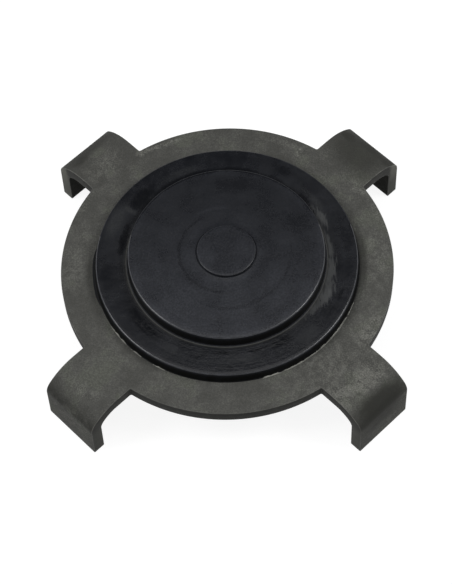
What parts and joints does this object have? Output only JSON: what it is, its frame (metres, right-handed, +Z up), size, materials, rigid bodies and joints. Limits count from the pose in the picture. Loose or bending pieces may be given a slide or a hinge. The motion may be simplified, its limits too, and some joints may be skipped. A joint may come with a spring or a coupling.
{
  "type": "lift arm rubber pad",
  "caption": "Round moulded rubber pad with stepped raised discs and bent clips that hook over the round steel plate of a vehicle lift arm.",
  "frame": {"origin": "centre of the underside of the base plate, where the pad sits on the lift arm's steel plate", "axes": "+Z up through the raised discs, +X and +Y each through the middle of a clip"},
  "size_m": [0.1656, 0.1656, 0.0347],
  "materials": {
    "rubber": "matte dusty grey skin on the base plate and clips, smoother blue-black skin on the raised discs, near-black disc walls"
  },
  "bodies": {
    "root": {"lift_arm_pad": "rubber"}
  },
  "joints": []
}
